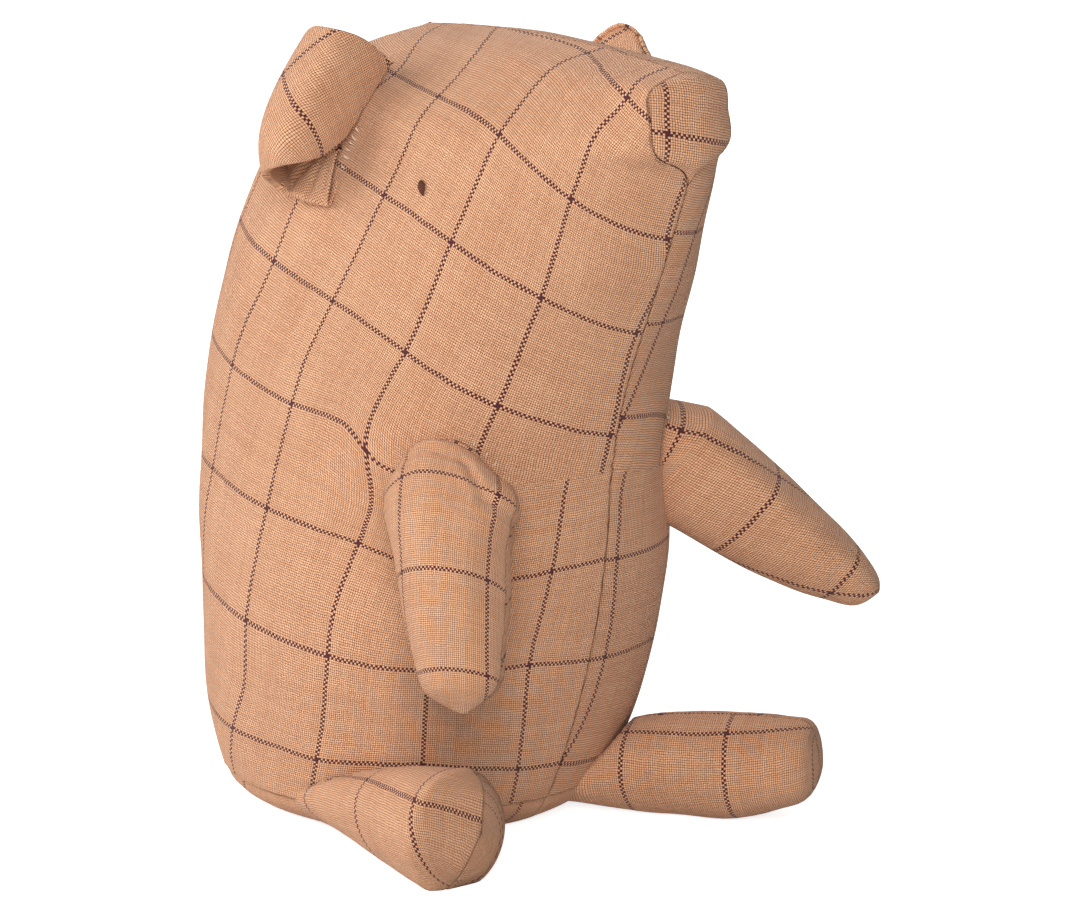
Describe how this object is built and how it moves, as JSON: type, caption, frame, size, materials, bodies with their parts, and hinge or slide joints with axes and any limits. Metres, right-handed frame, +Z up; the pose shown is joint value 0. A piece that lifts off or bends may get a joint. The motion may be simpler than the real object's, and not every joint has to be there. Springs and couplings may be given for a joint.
{
  "type": "plush pig",
  "caption": "Sitting plush pig sewn from windowpane-checked linen, with a stuffed body and head in one form, a flat snout, and arms, legs, ears and a tail that flap on their seams.",
  "frame": {"origin": "middle of the flat seat, on the floor that the pig sits on", "axes": "+Z up from the floor; the pig looks along -Y; its own left side is on +X and its right side on -X"},
  "size_m": [0.1371, 0.1698, 0.2001],
  "materials": {
    "linen": "matte plain weave with a dark windowpane check",
    "polyester_filling": "loose fibre",
    "bag_calico": "plain cloth",
    "eye_thread": "embroidered",
    "pale_thread": "sewing thread"
  },
  "bodies": {
    "body": {"base_panel": "linen", "right_side_panel": "linen", "left_side_panel": "linen", "nose_panel": "linen", "body_stuffing": "polyester_filling", "pellet_bag": "bag_calico", "right_eye": "eye_thread", "left_eye": "eye_thread", "right_shoulder_stitching": "pale_thread", "left_shoulder_stitching": "pale_thread", "right_ear_stitching": "pale_thread", "left_ear_stitching": "pale_thread"},
    "right_arm": {"right_arm_outer_panel": "linen", "right_arm_inner_panel": "linen", "right_arm_stuffing": "polyester_filling"},
    "left_arm": {"left_arm_outer_panel": "linen", "left_arm_inner_panel": "linen", "left_arm_stuffing": "polyester_filling"},
    "right_leg": {"right_leg_outer_panel": "linen", "right_leg_inner_panel": "linen", "right_leg_stuffing": "polyester_filling"},
    "left_leg": {"left_leg_outer_panel": "linen", "left_leg_inner_panel": "linen", "left_leg_stuffing": "polyester_filling"},
    "right_ear": {"right_ear_front_layer": "linen", "right_ear_back_layer": "linen"},
    "left_ear": {"left_ear_front_layer": "linen", "left_ear_back_layer": "linen"},
    "tail": {"tail": "linen"}
  },
  "joints": [
    {"name": "right_shoulder", "type": "hinge", "parent": "body", "child": "right_arm", "pos_m": [-0.03642, -0.04783, 0.1052], "axis": [-0.596, 0.803, 0], "range_deg": [0, 90]},
    {"name": "left_shoulder", "type": "hinge", "parent": "body", "child": "left_arm", "pos_m": [0.03613, -0.04793, 0.10038], "axis": [-0.6193, -0.7851, 0], "range_deg": [0, 90]},
    {"name": "right_hip", "type": "hinge", "parent": "body", "child": "right_leg", "pos_m": [-0.04025, -0.01467, 0.00319], "axis": [0.4764, -0.8792, 0], "range_deg": [-2, 80]},
    {"name": "left_hip", "type": "hinge", "parent": "body", "child": "left_leg", "pos_m": [0.02218, -0.03308, 0.00319], "axis": [0.8648, 0.502, 0], "range_deg": [-5, 80]},
    {"name": "right_ear_flap", "type": "hinge", "parent": "body", "child": "right_ear", "pos_m": [-0.0416, -0.01205, 0.16421], "axis": [0.1328, 0.8661, 0.4818], "range_deg": [-45, 15], "stiffness_Nm_per_rad": 0.002},
    {"name": "left_ear_flap", "type": "hinge", "parent": "body", "child": "left_ear", "pos_m": [0.04388, 0.00188, 0.15325], "axis": [-0.2232, 0.906, 0.3597], "range_deg": [-8, 45], "stiffness_Nm_per_rad": 0.002},
    {"name": "tail_flap", "type": "hinge", "parent": "body", "child": "tail", "pos_m": [0, 0.06094, 0.04015], "axis": [1, 0, 0], "range_deg": [-15, 8], "stiffness_Nm_per_rad": 0.001}
  ]
}
